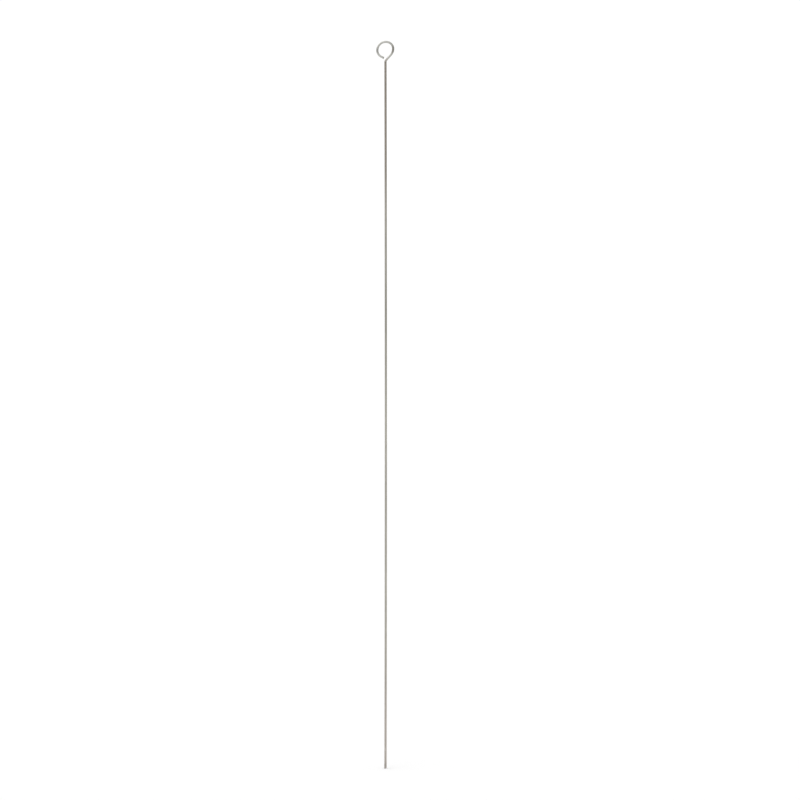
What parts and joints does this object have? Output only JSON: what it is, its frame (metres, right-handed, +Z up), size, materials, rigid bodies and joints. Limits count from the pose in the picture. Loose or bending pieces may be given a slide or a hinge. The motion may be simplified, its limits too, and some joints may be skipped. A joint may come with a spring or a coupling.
{
  "type": "inoculating loop",
  "caption": "Bare nichrome inoculating wire: a long straight shank for a loop holder's chuck, bent at the neck into a small open ring.",
  "frame": {"origin": "middle of the shank's cut face, the end that goes into the holder's chuck", "axes": "+Z runs up the shank to the ring, +X to the side that the neck bends towards, +Y across the plane of the ring"},
  "size_m": [0.0041, 0.0006, 0.1652],
  "materials": {
    "nichrome": "drawn nickel-chromium wire, satin, with die lines along it and a thin warm grey oxide"
  },
  "bodies": {
    "root": {"shank": "nichrome", "neck_bend": "nichrome", "loop_ring": "nichrome"}
  },
  "joints": []
}
